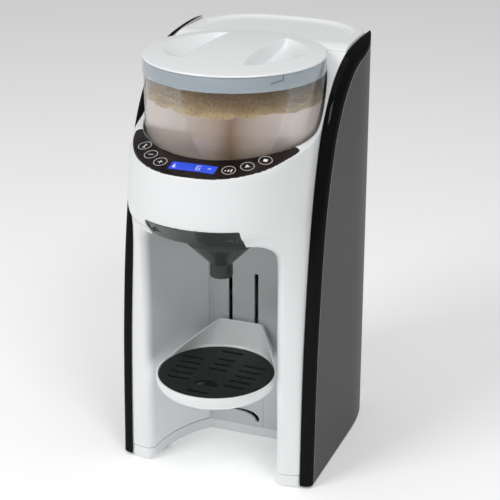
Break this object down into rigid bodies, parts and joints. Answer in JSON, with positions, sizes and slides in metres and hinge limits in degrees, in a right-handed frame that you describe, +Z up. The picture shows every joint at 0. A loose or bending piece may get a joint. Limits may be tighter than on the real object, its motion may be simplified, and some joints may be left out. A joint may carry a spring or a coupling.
{
  "type": "formula dispenser",
  "caption": "Countertop baby formula mixing machine: clear powder container on top, removable rear water tank, funnel over a bottle bay and a height-adjustable drip tray.",
  "frame": {"origin": "centre of the machine's footprint, on the counter", "axes": "+Z up, -Y the front with the bottle bay, +X the machine's left seen from behind (the viewer's right seen from the front)"},
  "size_m": [0.204, 0.2984, 0.4212],
  "materials": {
    "white_plastic": "glossy moulded white",
    "liner_plastic": "satin off-white",
    "charcoal_plastic": "satin charcoal",
    "gloss_black": "high-gloss black",
    "panel_black": "glossy near-black control panel",
    "clear_plastic": "clear transparent",
    "collar_plastic": "translucent blue-grey",
    "smoke_plastic": "smoke-tinted transparent",
    "funnel_plastic": "dark grey, slightly translucent",
    "grate_plastic": "satin black",
    "rubber": "matt black",
    "silicone": "translucent white",
    "powder": "loose cream powder",
    "display_blue": "backlit blue display",
    "steel": "plain steel",
    "aluminium": "cast and sheet aluminium",
    "board_green": "green circuit board",
    "gear_plastic": "natural acetal"
  },
  "bodies": {
    "machine_body": {"base_pan": "white_plastic", "rubber_foot_front_left": "rubber", "rubber_foot_front_right": "rubber", "rubber_foot_rear_left": "rubber", "rubber_foot_rear_right": "rubber", "frame_screw_1": "steel", "frame_screw_2": "steel", "front_shell": "white_plastic", "bay_liner": "liner_plastic", "funnel_guide": "liner_plastic", "edge_trim_right": "gloss_black", "edge_trim_left": "gloss_black", "side_panel_right": "charcoal_plastic", "side_panel_left": "charcoal_plastic", "back_panel": "charcoal_plastic", "tank_seat": "funnel_plastic", "tank_bulkhead": "liner_plastic", "power_inlet": "rubber", "container_cradle": "white_plastic", "gear_motor": "steel", "drive_plate": "steel", "powder_chute": "funnel_plastic", "control_panel": "panel_black", "display_module": "display_blue", "control_board": "board_green", "inner_frame": "aluminium", "water_heater": "aluminium", "water_pump": "funnel_plastic", "tank_hose": "silicone", "pump_hose": "silicone", "heater_hose": "silicone", "water_nozzle": "silicone", "power_board": "board_green"},
    "powder_container": {"powder_container": "clear_plastic", "container_collar": "collar_plastic", "formula_powder": "powder"},
    "dosing_wheel": {"dosing_wheel": "gear_plastic", "stirring_arm": "gear_plastic"},
    "lid_plate": {"lid_inner_plate": "white_plastic", "lid_seal": "silicone"},
    "powder_lid": {"powder_lid": "white_plastic"},
    "drive_gear": {"drive_gear": "gear_plastic"},
    "motor_pinion": {"motor_pinion": "steel"},
    "water_tank": {"water_tank": "smoke_plastic", "tank_hinge_pin": "steel", "tank_valve_cage": "gear_plastic", "tank_valve_spring": "steel"},
    "tank_valve": {"tank_valve_stem": "gear_plastic"},
    "tank_lid": {"tank_lid": "white_plastic"},
    "funnel": {"funnel": "funnel_plastic"},
    "drip_tray": {"drip_tray": "white_plastic"},
    "drip_grate": {"drip_grate": "grate_plastic"},
    "volume_up_button": {"volume_up_button": "panel_black"},
    "volume_down_button": {"volume_down_button": "panel_black"},
    "temperature_button": {"temperature_button": "panel_black"},
    "powder_setting_button": {"powder_setting_button": "panel_black"},
    "start_button": {"start_button": "panel_black"},
    "stop_button": {"stop_button": "panel_black"}
  },
  "joints": [
    {"name": "powder_container_lift", "type": "slide", "parent": "machine_body", "child": "powder_container", "axis": [0, 0, 1], "range_m": [0, 0.12]},
    {"name": "powder_lid_lift", "type": "slide", "parent": "powder_container", "child": "lid_plate", "axis": [0, 0, 1], "range_m": [0, 0.06]},
    {"name": "powder_lid_twist", "type": "hinge", "parent": "lid_plate", "child": "powder_lid", "pos_m": [0, -0.0295, 0.417], "axis": [0, 0, 1], "range_deg": [0, 25]},
    {"name": "dosing_wheel_spin", "type": "hinge", "parent": "powder_container", "child": "dosing_wheel", "pos_m": [0, -0.0295, 0.327], "axis": [0, 0, 1], "continuous": true},
    {"name": "drive_gear_spin", "type": "hinge", "parent": "machine_body", "child": "drive_gear", "pos_m": [0, -0.0295, 0.306], "axis": [0, 0, 1], "continuous": true},
    {"name": "motor_pinion_spin", "type": "hinge", "parent": "machine_body", "child": "motor_pinion", "pos_m": [0.015, -0.00352, 0.306], "axis": [0, 0, 1], "continuous": true},
    {"name": "funnel_slide", "type": "slide", "parent": "machine_body", "child": "funnel", "axis": [0, -1, 0], "range_m": [0, 0.11]},
    {"name": "drip_tray_height", "type": "slide", "parent": "machine_body", "child": "drip_tray", "axis": [0, 0, 1], "range_m": [-0.07, 0.03]},
    {"name": "drip_grate_lift", "type": "slide", "parent": "drip_tray", "child": "drip_grate", "axis": [0, 0, 1], "range_m": [0, 0.03]},
    {"name": "rear_tank_lift", "type": "slide", "parent": "machine_body", "child": "water_tank", "axis": [0, 0, 1], "range_m": [0, 0.15]},
    {"name": "rear_tank_lid_hinge", "type": "hinge", "parent": "water_tank", "child": "tank_lid", "pos_m": [0, 0.1453, 0.409], "axis": [-1, 0, 0], "range_deg": [0, 90]},
    {"name": "water_valve_press", "type": "slide", "parent": "water_tank", "child": "tank_valve", "axis": [0, 0, 1], "range_m": [0, 0.003], "stiffness_N_per_m": 200, "springref_m": -0.002, "deforming": ["tank_valve_spring"]},
    {"name": "volume_up_press", "type": "slide", "parent": "machine_body", "child": "volume_up_button", "axis": [0, 0, -1], "range_m": [0, 0.0009], "stiffness_N_per_m": 400, "springref_m": -0.0008},
    {"name": "volume_down_press", "type": "slide", "parent": "machine_body", "child": "volume_down_button", "axis": [0, 0, -1], "range_m": [0, 0.0009], "stiffness_N_per_m": 400, "springref_m": -0.0008},
    {"name": "temperature_press", "type": "slide", "parent": "machine_body", "child": "temperature_button", "axis": [0, 0, -1], "range_m": [0, 0.0009], "stiffness_N_per_m": 400, "springref_m": -0.0008},
    {"name": "powder_setting_press", "type": "slide", "parent": "machine_body", "child": "powder_setting_button", "axis": [0, 0, -1], "range_m": [0, 0.0009], "stiffness_N_per_m": 400, "springref_m": -0.0008},
    {"name": "start_press", "type": "slide", "parent": "machine_body", "child": "start_button", "axis": [0, 0, -1], "range_m": [0, 0.0009], "stiffness_N_per_m": 400, "springref_m": -0.0008},
    {"name": "stop_press", "type": "slide", "parent": "machine_body", "child": "stop_button", "axis": [0, 0, -1], "range_m": [0, 0.0009], "stiffness_N_per_m": 400, "springref_m": -0.0008}
  ],
  "couplings": [
    {"joint": "drive_gear_spin", "follows": "dosing_wheel_spin", "ratio": 1},
    {"joint": "motor_pinion_spin", "follows": "dosing_wheel_spin", "ratio": -4}
  ]
}
